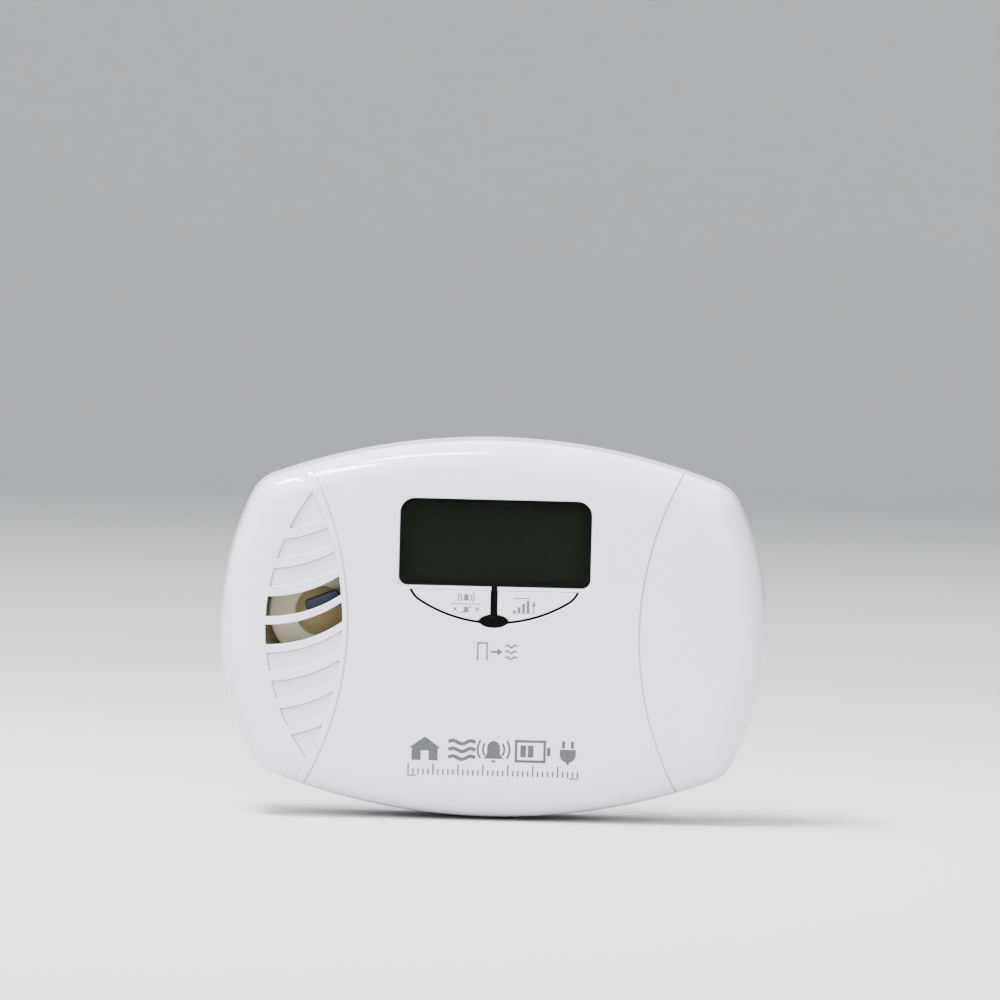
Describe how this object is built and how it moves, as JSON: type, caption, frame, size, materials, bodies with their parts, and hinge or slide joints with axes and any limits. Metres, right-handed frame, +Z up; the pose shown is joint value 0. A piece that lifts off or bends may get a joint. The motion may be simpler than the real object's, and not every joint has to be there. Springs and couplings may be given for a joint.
{
  "type": "carbon monoxide alarm",
  "caption": "Plug-in carbon monoxide alarm with a louvred side grille, a display window over two half-lens buttons, rear plug blades and a pull-out battery drawer.",
  "frame": {"origin": "centre of the flat rear face, in the plane of the wall plate the alarm is plugged into", "axes": "+X to the right as seen from the front, +Y out of the back into the wall, +Z up; the front faces -Y"},
  "size_m": [0.1424, 0.055, 0.099],
  "materials": {
    "white_abs": "fine satin moulding, white ABS",
    "button_abs": "satin white ABS",
    "smoked_lens": "polished smoked acrylic",
    "lcd": "olive liquid-crystal panel",
    "diffuser": "milky light guide",
    "dark_plastic": "moulded dark thermoplastic",
    "rubber_strip": "layered conductive rubber",
    "board": "tan phenolic laminate",
    "cream_plastic": "moulded cream plastic",
    "blue_epoxy": "dipped blue epoxy",
    "brass": "bright rolled brass",
    "nickel": "nickel plate",
    "steel": "zinc-plated steel",
    "core_iron": "varnished laminations",
    "yellow_tape": "yellow winding tape",
    "cell_jacket": "plain printed jacket over a steel can; aluminium gives about the weight of an alkaline cell",
    "label": "matt white label film",
    "wire_black": "black PVC sleeve",
    "wire_white": "white PVC sleeve",
    "led_red": "clear red epoxy"
  },
  "bodies": {
    "housing": {"front_cover": "white_abs", "rear_cover": "white_abs", "display_lens": "smoked_lens", "rating_label": "label", "case_screw_1": "steel", "case_screw_2": "steel", "case_screw_3": "steel", "case_screw_4": "steel", "test_silence_switch_body": "dark_plastic", "peak_level_switch_body": "dark_plastic", "lcd_panel": "lcd", "lcd_holder": "dark_plastic", "backlight_panel": "diffuser", "connector_strip": "rubber_strip", "alarm_led": "led_red", "circuit_board": "board", "horn_housing": "cream_plastic", "horn_disc": "brass", "horn_capacitor": "blue_epoxy", "gas_sensor_can": "steel", "gas_sensor_cap": "cream_plastic", "microcontroller": "dark_plastic", "transformer_core": "core_iron", "transformer_winding": "yellow_tape", "reservoir_capacitor": "dark_plastic", "film_capacitor": "cream_plastic", "varistor": "blue_epoxy", "board_screw_1": "steel", "board_screw_2": "steel", "board_screw_3": "steel", "blade_block": "dark_plastic", "blade_left": "nickel", "blade_right": "nickel", "mains_lead_left": "wire_black", "mains_lead_right": "wire_white", "bay_contact": "nickel", "bay_spring": "steel", "bay_spring_plate": "nickel"},
    "test_silence_button": {"test_silence_button": "button_abs", "test_silence_switch_plunger": "dark_plastic"},
    "peak_level_button": {"peak_level_button": "button_abs", "peak_level_switch_plunger": "dark_plastic"},
    "battery_drawer": {"battery_drawer": "white_abs", "battery_upper": "cell_jacket", "battery_lower": "cell_jacket", "bridge_contact": "nickel", "bridge_spring": "steel"}
  },
  "joints": [
    {"name": "test_silence_press", "type": "slide", "parent": "housing", "child": "test_silence_button", "axis": [0, 1, 0], "range_m": [0, 0.0008], "stiffness_N_per_m": 300},
    {"name": "peak_level_press", "type": "slide", "parent": "housing", "child": "peak_level_button", "axis": [0, 1, 0], "range_m": [0, 0.0008], "stiffness_N_per_m": 300},
    {"name": "battery_drawer_slide", "type": "slide", "parent": "housing", "child": "battery_drawer", "axis": [1, 0, 0], "range_m": [0, 0.055]}
  ]
}
